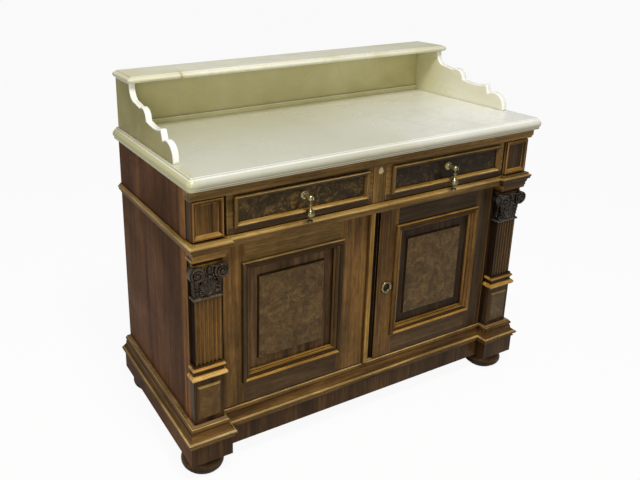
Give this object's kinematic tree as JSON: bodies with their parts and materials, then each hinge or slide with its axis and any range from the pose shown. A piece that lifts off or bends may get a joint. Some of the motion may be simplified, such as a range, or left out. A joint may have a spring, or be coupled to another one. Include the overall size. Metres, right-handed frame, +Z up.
{
  "type": "washstand with marble top",
  "caption": "Wooden washstand with a marble slab, shelf and gallery over sliding drawers and a hinged cupboard.",
  "frame": {"origin": "centre of the bounding box's underside, at the floor", "axes": "+X to the right along the front as one faces it, +Y to the back, +Z up"},
  "size_m": [1.181, 0.54, 1.019],
  "materials": {
    "marble": "polished, off-white with faint grey veins",
    "walnut": "old shellac polish over straight-grained walnut",
    "walnut_side": "reddish-brown polished side",
    "moulding": "golden-brown polish, rubbed light on the edges",
    "burl": "dark figured burl veneer under polish",
    "carving": "blackened carved walnut, rubbed on the high points",
    "plain_wood": "bare softwood inside and behind",
    "brass": "aged brass, worn bright on the round parts",
    "iron": "dull wrought iron lock plate"
  },
  "bodies": {
    "carcass": {"marble_slab": "marble", "splashback": "marble", "splash_strip": "marble", "gallery_left": "marble", "gallery_right": "marble", "marble_shelf": "marble", "top_rail": "walnut", "corner_post_left": "walnut", "corner_post_right": "walnut", "corner_block_left": "walnut", "corner_block_right": "walnut", "centre_stile": "walnut", "belt_rail": "walnut", "pilaster_left": "walnut", "pilaster_right": "walnut", "pedestal_left": "walnut", "pedestal_right": "walnut", "bun_feet_front": "walnut", "bun_feet_back": "walnut", "side_left": "walnut_side", "side_right": "walnut_side", "belt_moulding": "moulding", "plinth": "moulding", "capital_left": "carving", "capital_right": "carving", "back_panel": "plain_wood", "drawer_divider": "plain_wood", "dust_board": "plain_wood", "drawer_runners": "plain_wood", "foot_blocks": "plain_wood", "bottom_board": "plain_wood", "cupboard_shelf": "plain_wood", "shelf_bearers": "plain_wood", "pivot_sockets": "brass"},
    "left_drawer": {"left_drawer_front": "walnut", "left_drawer_moulding": "moulding", "left_drawer_box": "plain_wood", "left_drawer_bottom": "plain_wood", "left_pull_mount": "brass"},
    "right_drawer": {"right_drawer_front": "walnut", "right_drawer_moulding": "moulding", "right_drawer_box": "plain_wood", "right_drawer_bottom": "plain_wood", "right_pull_mount": "brass"},
    "left_drop": {"left_pull_drop": "brass"},
    "right_drop": {"right_pull_drop": "brass"},
    "left_door": {"left_door_frame": "walnut", "left_door_moulding": "moulding", "left_door_panel": "burl", "left_door_pivots": "brass", "meeting_strip": "moulding", "left_door_bolt_plate": "brass"},
    "right_door": {"right_door_frame": "walnut", "right_door_moulding": "moulding", "right_door_panel": "burl", "right_door_pivots": "brass", "door_lock": "iron", "escutcheon": "brass"},
    "top_bolt": {"left_door_bolt": "brass"},
    "lock_bolt": {"lock_bolt": "brass"}
  },
  "joints": [
    {"name": "left_drawer_slide", "type": "slide", "parent": "carcass", "child": "left_drawer", "axis": [0, -1, 0], "range_m": [0, 0.35]},
    {"name": "right_drawer_slide", "type": "slide", "parent": "carcass", "child": "right_drawer", "axis": [0, -1, 0], "range_m": [0, 0.35]},
    {"name": "left_drop_swing", "type": "hinge", "parent": "left_drawer", "child": "left_drop", "pos_m": [-0.242, -0.258, 0.75], "axis": [-1, 0, 0], "range_deg": [-5, 85]},
    {"name": "right_drop_swing", "type": "hinge", "parent": "right_drawer", "child": "right_drop", "pos_m": [0.242, -0.258, 0.75], "axis": [-1, 0, 0], "range_deg": [-5, 85]},
    {"name": "left_door_pivot", "type": "hinge", "parent": "carcass", "child": "left_door", "pos_m": [-0.452, -0.198, 0.409], "axis": [0, 0, -1], "range_deg": [0, 90]},
    {"name": "right_door_pivot", "type": "hinge", "parent": "carcass", "child": "right_door", "pos_m": [0.452, -0.198, 0.409], "axis": [0, 0, 1], "range_deg": [0, 90]},
    {"name": "top_bolt_slide", "type": "slide", "parent": "left_door", "child": "top_bolt", "axis": [0, 0, 1], "range_m": [0, 0.012]},
    {"name": "lock_bolt_slide", "type": "slide", "parent": "right_door", "child": "lock_bolt", "axis": [-1, 0, 0], "range_m": [0, 0.012]}
  ]
}
